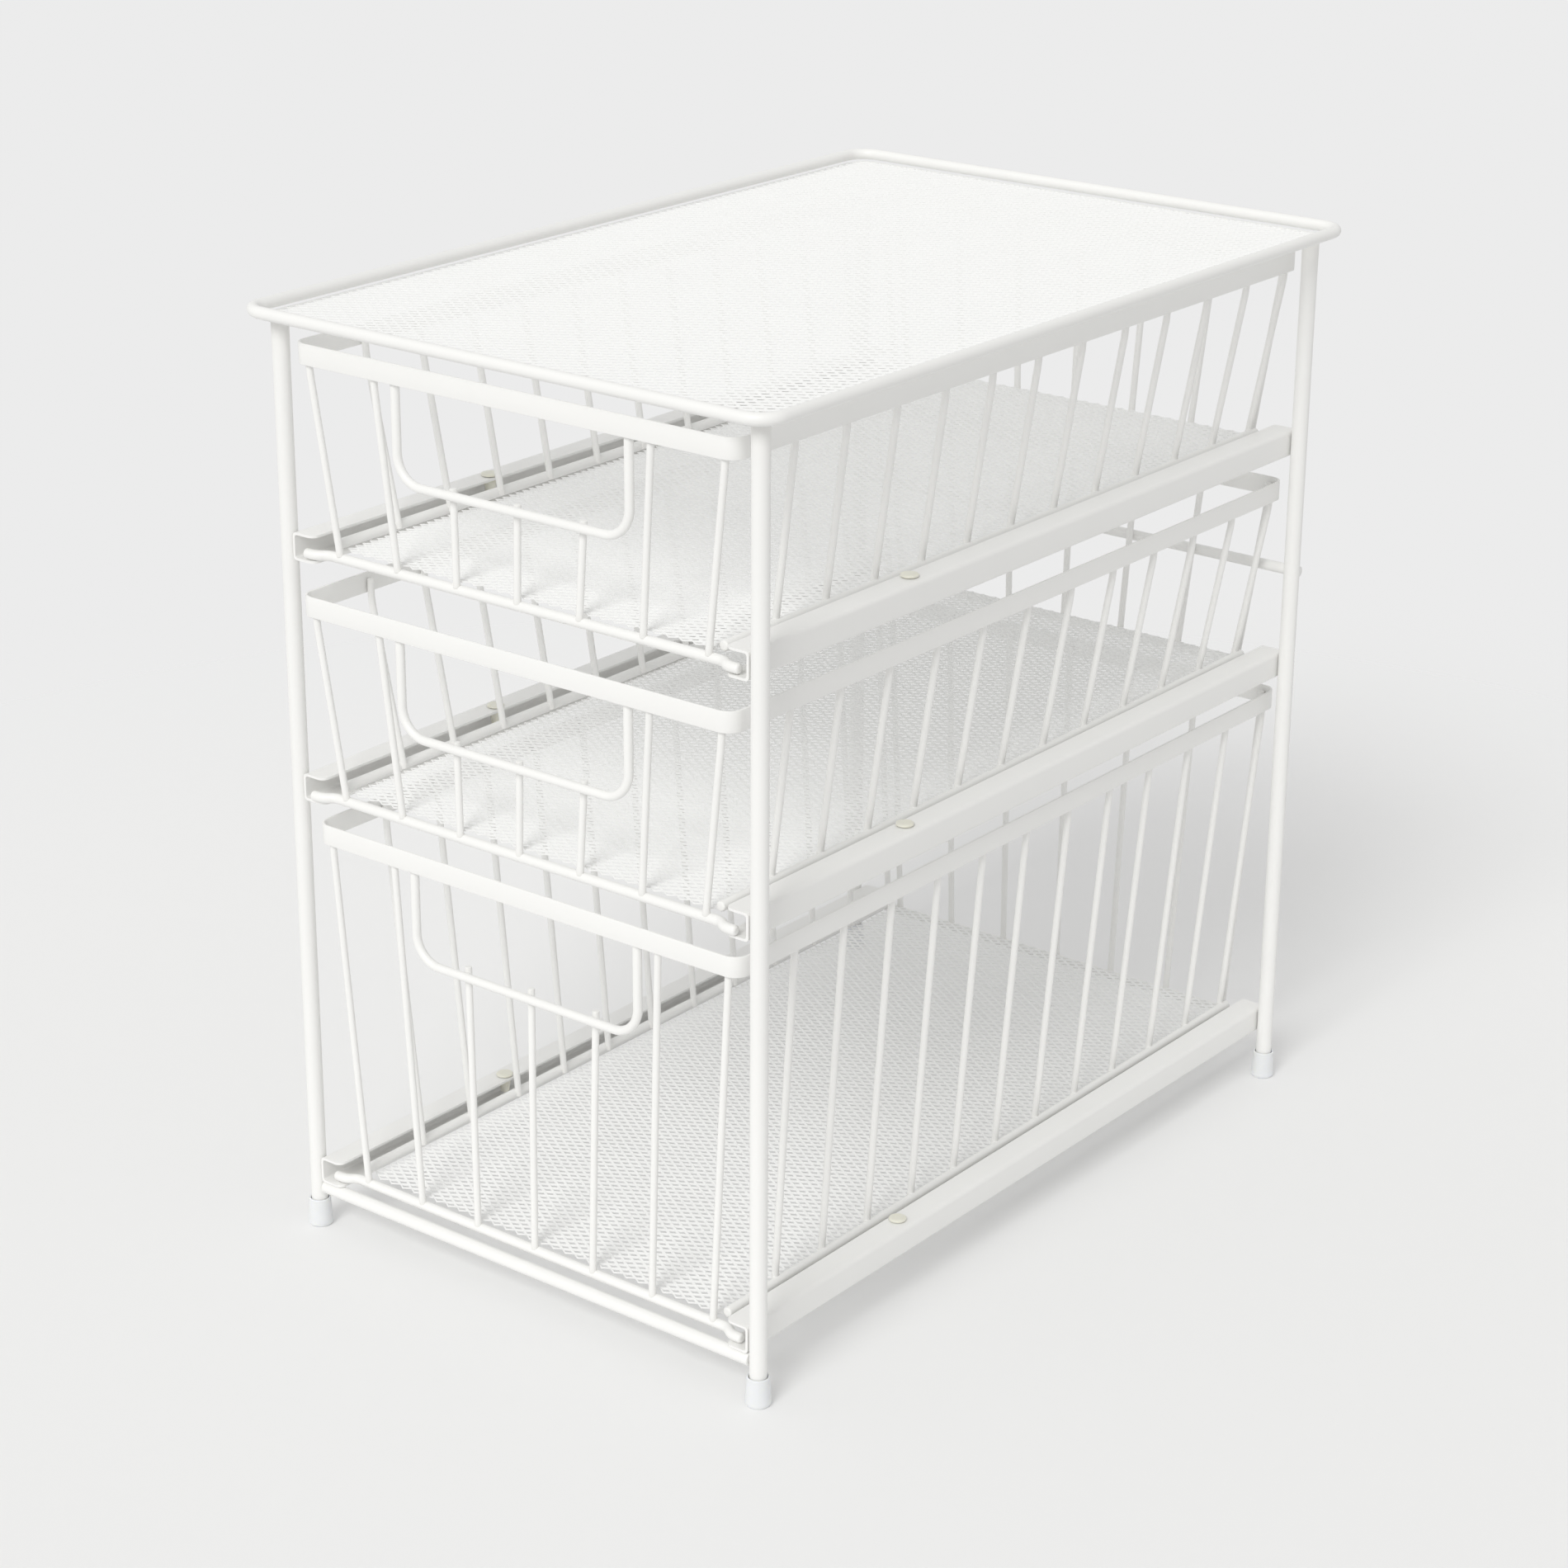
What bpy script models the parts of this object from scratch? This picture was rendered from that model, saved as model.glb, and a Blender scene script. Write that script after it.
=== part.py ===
"""Wire drawer organizer: a welded wire frame with six channel rails and three slide-out drawers.

Metres, +Z up, front toward -Y, origin under the middle of the frame at floor level.
Each drawer is built in its own frame of reference, level with the underside of its rails.
"""
import math

import bmesh
import bpy
from mathutils import Vector

# Overall size, over the top wire and down to the feet
WIDTH = 0.263
DEPTH = 0.401
HEIGHT = 0.400

# Wire, rod and sheet that the organizer is made from
TOP_WIRE = 0.0050
LEG_ROD = 0.0070
FRONT_CROSS_ROD = 0.0056
REAR_CROSS_ROD = 0.0048
BASE_WIRE = 0.0042
UPRIGHT_WIRE = 0.0032
HANDLE_WIRE = 0.0037
SHEET = 0.0010
FIT = 0.0003

# Top shelf
TOP_CORNER = 0.0125
TOP_MESH_INSET = 0.0040
TOP_MESH_BORDER = 0.0085
TOP_MESH_CORNER = 0.0090
LEG_INSET = 0.0125

# Feet
FOOT_HEIGHT = 0.0125
FOOT_TOP = 0.0091
FOOT_WIDE = 0.0107
FOOT_REST = 0.0088
FOOT_EDGE = 0.0011
FOOT_RIM = 0.0011
FOOT_FLOOR = 0.0022

# Channel rails, welded to the inner side of the legs
RAIL_HEIGHT = 0.0115
RAIL_WIDTH = 0.0112
RAIL_BEND = 0.0018
RAIL_CORNER = 0.0032
RAIL_PAST_FRONT_LEG = 0.0020
RAIL_PAST_REAR_LEG = 0.0040
BOTTOM_RAIL = 0.0215

# Push-in bumpers, through a hole in each rail's upper flange
BUMPER_PLACE_SHARE = 0.207
BUMPER_FROM_WEB = 0.0072
BUMPER_HEAD = 0.0074
BUMPER_HEAD_THICK = 0.0013
BUMPER_HEAD_EDGE = 0.0004
BUMPER_STEM = 0.0034
BUMPER_BULB = 0.0054
BUMPER_BULB_TIP = 0.0036
BUMPER_DROP = 0.0078
BUMPER_SHOULDER = 0.0008

# Cross rods of the frame
FRONT_CROSS_DROP = 0.0003
REAR_CROSS_SHARE = 0.542
REAR_CROSS_SHORT = 0.0005

# Drawers
RIM_FROM_SIDE = 0.0215
RIM_FROM_END = 0.0070
RIM_HEIGHT = 0.0085
RIM_CORNER = 0.0065
SHALLOW_DRAWER = 0.0895
TOP_DRAWER_GAP = 0.0135
MIDDLE_DRAWER_GAP = 0.0125
BOTTOM_DRAWER_GAP = 0.0088
TOP_SET_BACK = 0.0022
MIDDLE_SET_BACK = 0.0002
BOTTOM_SET_BACK = 0.0040

# Floor of a drawer
CROSS_WIRE_INSET = 0.0063
SIDE_WIRE_INSET = 0.0125
SIDE_WIRE_PAST = 0.0021
EAR_SIDE_PLAY = 0.0020
EAR_FORWARD = 0.0033
EAR_PAST_SIDE_WIRE = 0.0025
EAR_RAMP = 0.0045
EAR_BEND = 0.0040
FLOOR_BORDER = 0.0030

# Uprights: feet on the floor wires, heads behind the rim band
END_WALL_COUNT = 7
END_FOOT_FROM_SIDE = 0.0042
END_HEAD_FROM_SIDE = 0.0068
END_FOOT_OUT = 0.0008
SIDE_WALL_COUNT = 12
SIDE_FOOT_FROM_FRONT = 0.0413
SIDE_FOOT_FROM_REAR = 0.0124
SIDE_HEAD_FROM_FRONT = 0.0377
SIDE_HEAD_FROM_REAR = 0.0083
SIDE_FOOT_IN = 0.0018
UPRIGHT_KINK_DROP = 0.0025
UPRIGHT_HEAD_DROP = 0.0024

# Handle
HANDLE_SPAN_SHARE = 0.529
HANDLE_DROP = 0.0395
HANDLE_BEND = 0.0120
HANDLE_HEAD = 0.0045
SHALLOW_TIP_RISE = 0.0018
DEEP_TIP_RISE = 0.0030

# Mesh panels: whole diamonds across and along, and the metal left between them
TOP_MESH_STRAND = 0.0066
TOP_MESH_ACROSS = 5
TOP_MESH_ALONG = 12
FLOOR_MESH_STRAND = 0.0045
FLOOR_MESH_ACROSS = 4
FLOOR_MESH_ALONG = 8

# Roundness of tubes, bends and turned pieces
THIN_TUBE_STEPS = 1
THICK_TUBE_STEPS = 2
LEG_TUBE_STEPS = 4
BEND_STEPS = 3
SMALL_BEND_STEPS = 2
TURN_STEPS = 12
BUMPER_STEPS = 8
SMOOTH_BELOW = math.radians(50)
MERGE = 0.000001

# Places worked out from the sizes above
LEG_X = WIDTH / 2 - LEG_INSET
LEG_Y = DEPTH / 2 - LEG_INSET
TOP_MESH_TOP = HEIGHT - TOP_WIRE - FIT
LEG_TOP = TOP_MESH_TOP - SHEET - FIT
WEB_OUT = LEG_X - LEG_ROD / 2 - FIT
WEB_IN = WEB_OUT - SHEET
RAIL_FRONT = LEG_Y + RAIL_PAST_FRONT_LEG
RAIL_REAR = LEG_Y + RAIL_PAST_REAR_LEG
BUMPER_FORWARD = DEPTH * BUMPER_PLACE_SHARE
DRAWER_WIDTH = WIDTH - 2 * RIM_FROM_SIDE
DRAWER_LENGTH = DEPTH - 2 * RIM_FROM_END
TOP_RAIL = HEIGHT - TOP_DRAWER_GAP - SHALLOW_DRAWER
MIDDLE_RAIL = TOP_RAIL - MIDDLE_DRAWER_GAP - SHALLOW_DRAWER
DEEP_DRAWER = MIDDLE_RAIL - BOTTOM_DRAWER_GAP - BOTTOM_RAIL
REAR_CROSS_HEIGHT = MIDDLE_RAIL + SHALLOW_DRAWER * REAR_CROSS_SHARE
CROSS_WIRE_LEVEL = SHEET + FIT + BASE_WIRE / 2
CROSS_WIRE_Y = DRAWER_LENGTH / 2 - CROSS_WIRE_INSET
SIDE_WIRE_X = DRAWER_WIDTH / 2 - SIDE_WIRE_INSET
EAR_START = SIDE_WIRE_X + EAR_PAST_SIDE_WIRE
EAR_REACH = WEB_IN - EAR_SIDE_PLAY
SIDE_WIRE_LEVEL = CROSS_WIRE_LEVEL + BASE_WIRE + FIT
FLOOR_LEVEL = CROSS_WIRE_LEVEL + BASE_WIRE / 2 + FIT
SIDE_FOOT_LEVEL = FLOOR_LEVEL + SHEET + FIT
END_FOOT_Y = CROSS_WIRE_Y + END_FOOT_OUT
SIDE_FOOT_X = SIDE_WIRE_X - SIDE_FOOT_IN
FLOOR_HALF_X = SIDE_WIRE_X - BASE_WIRE / 2 - FIT
FLOOR_HALF_Y = END_FOOT_Y - UPRIGHT_WIRE / 2 - FIT
HEAD_X = DRAWER_WIDTH / 2 - SHEET - FIT - UPRIGHT_WIRE / 2
HEAD_Y = DRAWER_LENGTH / 2 - SHEET - FIT - UPRIGHT_WIRE / 2
HANDLE_SPAN = DRAWER_WIDTH * HANDLE_SPAN_SHARE
HANDLE_Y = DRAWER_LENGTH / 2 - SHEET - FIT - HANDLE_WIRE / 2
SHORT_HEAD_Y = HANDLE_Y - HANDLE_WIRE / 2 - FIT - UPRIGHT_WIRE / 2


def clear_scene():
    """Empty the open file of objects."""
    for old in list(bpy.data.objects):
        bpy.data.objects.remove(old)


def principled(name, colour, roughness, metallic, transmission):
    """A plain Principled material."""
    material = bpy.data.materials.new(name)
    material.use_nodes = True
    shader = material.node_tree.nodes["Principled BSDF"]
    shader.inputs["Base Color"].default_value = (*colour, 1)
    shader.inputs["Roughness"].default_value = roughness
    shader.inputs["Metallic"].default_value = metallic
    shader.inputs["Transmission Weight"].default_value = transmission
    material.diffuse_color = (*colour, 1)
    return material


def frame_coat():
    """Satin white powder coat of the frame."""
    return principled("frame_powder_coat", (0.86, 0.86, 0.83), 0.42, 0, 0)


def drawer_coat():
    """The same powder coat on the thinner drawer wires."""
    return principled("drawer_powder_coat", (0.87, 0.87, 0.84), 0.40, 0, 0)


def mesh_coat():
    """Powder coat on expanded mesh, a little duller where it pools in the corners."""
    return principled("mesh_powder_coat", (0.85, 0.85, 0.83), 0.48, 0, 0)


def foot_plastic():
    """Cloudy bluish-white soft plastic of the feet."""
    return principled("foot_plastic", (0.80, 0.83, 0.87), 0.35, 0, 0.35)


def bumper_plastic():
    """Cloudy straw-coloured plastic of the bumpers."""
    return principled("bumper_plastic", (0.80, 0.77, 0.62), 0.38, 0, 0.30)


def rounded(points, radius, closed, steps=BEND_STEPS):
    """The corners of a path turned into arcs of the given radius."""
    corners = [Vector(point) for point in points]
    count = len(corners)
    path = []
    for index, corner in enumerate(corners):
        if not closed and index in (0, count - 1):
            path.append(corner)
            continue
        back = (corners[index - 1] - corner).normalized()
        ahead = (corners[(index + 1) % count] - corner).normalized()
        half = back.angle(ahead) / 2
        reach = radius / math.tan(half)
        centre = corner + (back + ahead).normalized() * (radius / math.sin(half))
        start = (corner + back * reach - centre).normalized()
        end = (corner + ahead * reach - centre).normalized()
        for step in range(steps + 1):
            path.append(centre + start.slerp(end, step / steps) * radius)
    return path


def face_outward(shape):
    """Doubled points joined, and every face turned outward."""
    bmesh.ops.remove_doubles(shape, verts=shape.verts, dist=MERGE)
    bmesh.ops.recalc_face_normals(shape, faces=shape.faces)
    if shape.calc_volume(signed=True) < 0:
        bmesh.ops.reverse_faces(shape, faces=shape.faces)


def mesh_from(thing):
    """The finished mesh of an object, which is then removed."""
    bpy.context.view_layer.update()
    graph = bpy.context.evaluated_depsgraph_get()
    mesh = bpy.data.meshes.new_from_object(thing.evaluated_get(graph))
    bpy.data.objects.remove(thing)
    tidy = bmesh.new()
    tidy.from_mesh(mesh)
    face_outward(tidy)
    tidy.to_mesh(mesh)
    tidy.free()
    return mesh


def tube(paths, diameter, roundness, closed=False):
    """Round wire along each path, as one mesh of separate lengths."""
    curve = bpy.data.curves.new("wire", "CURVE")
    curve.dimensions = "3D"
    curve.bevel_depth = diameter / 2
    curve.bevel_resolution = roundness
    curve.use_fill_caps = not closed
    for path in paths:
        spline = curve.splines.new("POLY")
        spline.points.add(len(path) - 1)
        for point, place in zip(spline.points, path):
            point.co = (*place, 1)
        spline.use_cyclic_u = closed
    wire = bpy.data.objects.new("wire", curve)
    bpy.context.scene.collection.objects.link(wire)
    return mesh_from(wire)


def combined(mesh, other, operation):
    """Two meshes as one solid, by union or difference."""
    body = bpy.data.objects.new("body", mesh)
    tool = bpy.data.objects.new("tool", other)
    bpy.context.scene.collection.objects.link(body)
    bpy.context.scene.collection.objects.link(tool)
    tool.hide_render = True
    tool.display_type = "WIRE"
    boolean = body.modifiers.new("weld", "BOOLEAN")
    boolean.operation = operation
    boolean.solver = "EXACT"
    boolean.object = tool
    result = mesh_from(body)
    bpy.data.objects.remove(tool)
    return result


def mesh_of(shape):
    """A new mesh holding a bmesh, with its faces turned outward."""
    face_outward(shape)
    mesh = bpy.data.meshes.new("solid")
    shape.to_mesh(mesh)
    shape.free()
    return mesh


def thickened(shape, thickness):
    """Flat faces raised into a sheet of the given thickness."""
    raised = bmesh.ops.extrude_face_region(shape, geom=list(shape.faces), use_keep_orig=True)
    lifted = [item for item in raised["geom"] if isinstance(item, bmesh.types.BMVert)]
    bmesh.ops.translate(shape, verts=lifted, vec=(0, 0, thickness))
    return mesh_of(shape)


def turned(profile, steps):
    """A solid of revolution about the Z axis."""
    shape = bmesh.new()
    verts = [shape.verts.new((radius, 0, height)) for radius, height in profile]
    edges = [shape.edges.new(pair) for pair in zip(verts, verts[1:])]
    bmesh.ops.spin(shape, geom=verts + edges, cent=(0, 0, 0), axis=(0, 0, 1),
                   angle=math.tau, steps=steps)
    return mesh_of(shape)


def place(name, mesh, material, parent, spot=(0, 0, 0)):
    """A named sub-part with its material, at its spot on its parent."""
    mesh.name = name
    mesh.materials.clear()
    mesh.materials.append(material)
    mesh.shade_smooth()
    mesh.set_sharp_from_angle(angle=SMOOTH_BELOW)
    part = bpy.data.objects.new(name, mesh)
    part.parent = parent
    part.location = spot
    bpy.context.scene.collection.objects.link(part)
    return part


def anchor(name, spot):
    """An empty that carries the pieces of one moving or fixed body."""
    empty = bpy.data.objects.new(name, None)
    empty.location = spot
    bpy.context.scene.collection.objects.link(empty)
    return empty


def rectangle(half_x, half_y, level):
    """The corners of a level rectangle, in order."""
    return [(-half_x, -half_y, level), (half_x, -half_y, level),
            (half_x, half_y, level), (-half_x, half_y, level)]


# Expanded mesh

def slab(outlines, level, thickness):
    """Flat pieces of the given outlines, as one mesh."""
    shape = bmesh.new()
    for outline in outlines:
        shape.faces.new([shape.verts.new((x, y, level)) for x, y, z in outline])
    return thickened(shape, thickness)


def diamond_sheet(outline, half_x, half_y, across, along, strand):
    """Flat stock of the given outline with a lattice of whole diamonds cut out of it."""
    step_x = half_x / across
    step_y = half_y / along
    share = 1 - strand * math.hypot(step_x, step_y) / (2 * step_x * step_y)
    wide = step_x * share
    high = step_y * share
    diamonds = []
    for i in range(1, 2 * across):
        for j in range(1 + i % 2, 2 * along, 2):
            x = step_x * (i - across)
            y = step_y * (j - along)
            diamonds.append([(x - wide, y, 0), (x, y - high, 0), (x + wide, y, 0), (x, y + high, 0)])
    return combined(slab([outline], 0, SHEET), slab(diamonds, -SHEET, 3 * SHEET), "DIFFERENCE")


# Frame

def top_frame_wire(frame, coat):
    """The rounded wire loop round the top shelf."""
    half_x = (WIDTH - TOP_WIRE) / 2
    half_y = (DEPTH - TOP_WIRE) / 2
    path = rounded(rectangle(half_x, half_y, 0), TOP_CORNER - TOP_WIRE / 2, True)
    place("top_frame_wire", tube([path], TOP_WIRE, THICK_TUBE_STEPS, True), coat, frame,
          (0, 0, HEIGHT - TOP_WIRE / 2))


def top_mesh_panel(frame, coat):
    """The mesh shelf, welded under the loop."""
    half_x = WIDTH / 2 - TOP_MESH_INSET
    half_y = DEPTH / 2 - TOP_MESH_INSET
    outline = rounded(rectangle(half_x, half_y, 0), TOP_MESH_CORNER, True)
    sheet = diamond_sheet(outline, half_x - TOP_MESH_BORDER, half_y - TOP_MESH_BORDER,
                          TOP_MESH_ACROSS, TOP_MESH_ALONG, TOP_MESH_STRAND)
    place("top_mesh_panel", sheet, coat, frame, (0, 0, TOP_MESH_TOP - SHEET))


def leg(name, frame, coat, x, y):
    """A straight rod from inside its foot up to the top shelf."""
    foot = FOOT_FLOOR + FIT
    path = [(0, 0, 0), (0, 0, LEG_TOP - foot)]
    place(name, tube([path], LEG_ROD, LEG_TUBE_STEPS), coat, frame, (x, y, foot))


def foot(name, frame, plastic, x, y):
    """A soft cap with a flared skirt, a rounded floor edge and a blind bore."""
    bore = LEG_ROD / 2 + FIT
    profile = [(0, 0), (FOOT_REST / 2, 0), (FOOT_WIDE / 2, FOOT_EDGE),
               (FOOT_TOP / 2, FOOT_HEIGHT - FOOT_RIM), (FOOT_TOP / 2, FOOT_HEIGHT),
               (bore, FOOT_HEIGHT), (bore, FOOT_FLOOR), (0, FOOT_FLOOR)]
    place(name, turned(profile, TURN_STEPS), plastic, frame, (x, y, 0))


def rail_profile(side):
    """The C of a rail across the organizer, open toward the middle."""
    lip = WEB_OUT - RAIL_WIDTH
    outer = rounded([(lip, 0, RAIL_HEIGHT), (WEB_OUT, 0, RAIL_HEIGHT), (WEB_OUT, 0, 0), (lip, 0, 0)],
                    RAIL_BEND, False, SMALL_BEND_STEPS)
    inner = rounded([(lip, 0, SHEET), (WEB_IN, 0, SHEET), (WEB_IN, 0, RAIL_HEIGHT - SHEET),
                     (lip, 0, RAIL_HEIGHT - SHEET)], RAIL_BEND - SHEET, False, SMALL_BEND_STEPS)
    return [(side * point.x, -RAIL_FRONT, point.z) for point in outer + inner]


def rail(name, frame, coat, side, level):
    """A folded channel with rounded front corners and a hole for its bumper."""
    shape = bmesh.new()
    end = shape.faces.new([shape.verts.new(point) for point in rail_profile(side)])
    drawn = bmesh.ops.extrude_face_region(shape, geom=[end], use_keep_orig=True)
    far = [item for item in drawn["geom"] if isinstance(item, bmesh.types.BMVert)]
    bmesh.ops.translate(shape, verts=far, vec=(0, RAIL_FRONT + RAIL_REAR, 0))
    lip = WEB_OUT - RAIL_WIDTH
    tips = [edge for edge in shape.edges if all(
        abs(abs(vert.co.x) - lip) < MERGE and abs(vert.co.y + RAIL_FRONT) < MERGE for vert in edge.verts)]
    bmesh.ops.bevel(shape, geom=tips, offset=RAIL_CORNER, segments=BEND_STEPS, profile=0.5,
                    affect="EDGES")
    hole_x = side * (WEB_OUT - BUMPER_FROM_WEB)
    drill = tube([[(hole_x, -BUMPER_FORWARD, RAIL_HEIGHT / 2), (hole_x, -BUMPER_FORWARD, 2 * RAIL_HEIGHT)]],
                 BUMPER_STEM + 2 * FIT, THICK_TUBE_STEPS)
    place(name, combined(mesh_of(shape), drill, "DIFFERENCE"), coat, frame, (0, 0, level))


def bumper(name, frame, plastic, side, level):
    """A push-in plug: flat head on the flange, bulb below it inside the channel."""
    seat = FIT
    under = -SHEET - FIT
    profile = [(0, seat + BUMPER_HEAD_THICK), (BUMPER_HEAD / 2 - BUMPER_HEAD_EDGE, seat + BUMPER_HEAD_THICK),
               (BUMPER_HEAD / 2, seat + BUMPER_HEAD_THICK - BUMPER_HEAD_EDGE), (BUMPER_HEAD / 2, seat),
               (BUMPER_STEM / 2, seat), (BUMPER_STEM / 2, under), (BUMPER_BULB / 2, under - BUMPER_SHOULDER),
               (BUMPER_BULB_TIP / 2, -BUMPER_DROP), (0, -BUMPER_DROP)]
    spot = (side * (WEB_OUT - BUMPER_FROM_WEB), -BUMPER_FORWARD, level + RAIL_HEIGHT)
    place(name, turned(profile, BUMPER_STEPS), plastic, frame, spot)


def front_cross_wire(frame, coat):
    """The thick rod between the front legs, under the lowest rails."""
    half = WEB_OUT
    level = BOTTOM_RAIL - FRONT_CROSS_DROP - FRONT_CROSS_ROD / 2
    path = [(-half, 0, 0), (half, 0, 0)]
    place("front_cross_wire", tube([path], FRONT_CROSS_ROD, THICK_TUBE_STEPS), coat, frame, (0, -LEG_Y, level))


def rear_cross_wire(frame, coat):
    """The rod across the backs of the rear legs, behind the middle drawer."""
    half = LEG_X + REAR_CROSS_SHORT
    back = LEG_Y + LEG_ROD / 2 + FIT + REAR_CROSS_ROD / 2
    path = [(-half, 0, 0), (half, 0, 0)]
    place("rear_cross_wire", tube([path], REAR_CROSS_ROD, THICK_TUBE_STEPS), coat, frame,
          (0, back, REAR_CROSS_HEIGHT))


def build_frame():
    """Everything that stands still."""
    frame = anchor("frame", (0, 0, 0))
    coat = frame_coat()
    top_frame_wire(frame, coat)
    top_mesh_panel(frame, mesh_coat())
    soft = foot_plastic()
    for end, y in (("front", -LEG_Y), ("rear", LEG_Y)):
        for hand, x in (("left", -LEG_X), ("right", LEG_X)):
            leg(f"leg_{end}_{hand}", frame, coat, x, y)
            foot(f"foot_{end}_{hand}", frame, soft, x, y)
    straw = bumper_plastic()
    for tier, level in (("top", TOP_RAIL), ("middle", MIDDLE_RAIL), ("bottom", BOTTOM_RAIL)):
        for hand, side in (("left", -1), ("right", 1)):
            rail(f"{tier}_rail_{hand}", frame, coat, side, level)
            bumper(f"{tier}_bumper_{hand}", frame, straw, side, level)
    front_cross_wire(frame, coat)
    rear_cross_wire(frame, coat)


# Drawers

def rim_band(tier, drawer, coat, height):
    """The flat steel band round the top of a drawer."""
    shape = bmesh.new()
    loops = []
    for inset in (0, SHEET):
        corners = rectangle(DRAWER_WIDTH / 2 - inset, DRAWER_LENGTH / 2 - inset, 0)
        loops.append([shape.verts.new(point) for point in rounded(corners, RIM_CORNER - inset, True)])
    outer, inner = loops
    for index in range(len(outer)):
        ahead = (index + 1) % len(outer)
        shape.faces.new((outer[index], outer[ahead], inner[ahead], inner[index]))
    place(f"{tier}_drawer_rim_band", thickened(shape, RIM_HEIGHT), coat, drawer,
          (0, 0, height - RIM_HEIGHT))


def handle(tier, drawer, coat, height):
    """The U of wire that hangs behind the band at the front."""
    half = HANDLE_SPAN / 2
    head = height - RIM_HEIGHT + HANDLE_HEAD
    bar = height - RIM_HEIGHT - HANDLE_DROP
    path = rounded([(-half, 0, head), (-half, 0, bar), (half, 0, bar), (half, 0, head)],
                   HANDLE_BEND, False)
    place(f"{tier}_drawer_handle", tube([path], HANDLE_WIRE, THICK_TUBE_STEPS), coat, drawer,
          (0, -HANDLE_Y, 0))


def front_wire_path():
    """The front floor wire, its ends stepped forward inside the rails."""
    ear_y = -CROSS_WIRE_Y - EAR_FORWARD
    half = [(EAR_START, -CROSS_WIRE_Y, CROSS_WIRE_LEVEL), (EAR_START + EAR_RAMP, ear_y, CROSS_WIRE_LEVEL),
            (EAR_REACH, ear_y, CROSS_WIRE_LEVEL)]
    other = [(-x, y, z) for x, y, z in reversed(half)]
    return rounded(other + half, EAR_BEND, False, SMALL_BEND_STEPS)


def rear_wire_path():
    """The rear floor wire, straight from rail to rail."""
    return [(-EAR_REACH, CROSS_WIRE_Y, CROSS_WIRE_LEVEL), (EAR_REACH, CROSS_WIRE_Y, CROSS_WIRE_LEVEL)]


def end_wall(name, drawer, coat, path, outward, height, short_head):
    """A floor wire with the uprights of the front or rear wall welded on top of it."""
    kink = height - RIM_HEIGHT - UPRIGHT_KINK_DROP
    uprights = []
    reach = END_WALL_COUNT // 2
    for index in range(-reach, reach + 1):
        foot_x = (SIDE_WIRE_X - END_FOOT_FROM_SIDE) * index / reach
        head_x = (DRAWER_WIDTH / 2 - END_HEAD_FROM_SIDE) * index / reach
        base = (foot_x, outward * END_FOOT_Y, CROSS_WIRE_LEVEL)
        if short_head and abs(head_x) < HANDLE_SPAN / 2:
            share = (short_head - CROSS_WIRE_LEVEL) / (kink - CROSS_WIRE_LEVEL)
            lean_x = foot_x + share * (head_x - foot_x)
            uprights.append([base, (lean_x, outward * SHORT_HEAD_Y, short_head)])
            continue
        top = (head_x, outward * HEAD_Y, height - UPRIGHT_HEAD_DROP)
        uprights.append([base, (head_x, outward * HEAD_Y, kink), top])
    wire = tube([path], BASE_WIRE, THICK_TUBE_STEPS)
    place(name, combined(wire, tube(uprights, UPRIGHT_WIRE, THIN_TUBE_STEPS), "UNION"), coat, drawer)


def along_side(index, from_front, from_rear):
    """Where one upright of a side wall stands, between its margins at the two ends."""
    row = DRAWER_LENGTH - from_front - from_rear
    return from_front - DRAWER_LENGTH / 2 + row * index / (SIDE_WALL_COUNT - 1)


def side_wall(name, drawer, coat, side, height):
    """A straight side wire with its row of uprights welded to its inner side."""
    kink = height - RIM_HEIGHT - UPRIGHT_KINK_DROP
    uprights = []
    for index in range(SIDE_WALL_COUNT):
        foot_y = along_side(index, SIDE_FOOT_FROM_FRONT, SIDE_FOOT_FROM_REAR)
        head_y = along_side(index, SIDE_HEAD_FROM_FRONT, SIDE_HEAD_FROM_REAR)
        uprights.append([(side * SIDE_FOOT_X, foot_y, SIDE_FOOT_LEVEL), (side * HEAD_X, head_y, kink),
                         (side * HEAD_X, head_y, height - UPRIGHT_HEAD_DROP)])
    half = CROSS_WIRE_Y + SIDE_WIRE_PAST
    wire = tube([[(side * SIDE_WIRE_X, -half, SIDE_WIRE_LEVEL), (side * SIDE_WIRE_X, half, SIDE_WIRE_LEVEL)]],
                BASE_WIRE, THICK_TUBE_STEPS)
    place(name, combined(wire, tube(uprights, UPRIGHT_WIRE, THIN_TUBE_STEPS), "UNION"), coat, drawer)


def floor_mesh(tier, drawer, coat):
    """The mesh floor, lying on the front and rear floor wires between the side wires."""
    sheet = diamond_sheet(rectangle(FLOOR_HALF_X, FLOOR_HALF_Y, 0), FLOOR_HALF_X - FLOOR_BORDER,
                          FLOOR_HALF_Y - FLOOR_BORDER, FLOOR_MESH_ACROSS, FLOOR_MESH_ALONG,
                          FLOOR_MESH_STRAND)
    place(f"{tier}_drawer_floor_mesh", sheet, coat, drawer, (0, 0, FLOOR_LEVEL))


def build_drawer(tier, level, set_back, height, tip_rise, coat, net_coat):
    """One slide-out drawer on its own anchor, which slides along Y."""
    drawer = anchor(f"{tier}_drawer", (0, set_back, level))
    tip = height - RIM_HEIGHT - HANDLE_DROP + tip_rise
    rim_band(tier, drawer, coat, height)
    handle(tier, drawer, coat, height)
    end_wall(f"{tier}_drawer_front_wires", drawer, coat, front_wire_path(), -1, height, tip)
    end_wall(f"{tier}_drawer_rear_wires", drawer, coat, rear_wire_path(), 1, height, 0)
    side_wall(f"{tier}_drawer_left_wires", drawer, coat, -1, height)
    side_wall(f"{tier}_drawer_right_wires", drawer, coat, 1, height)
    floor_mesh(tier, drawer, net_coat)


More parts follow.
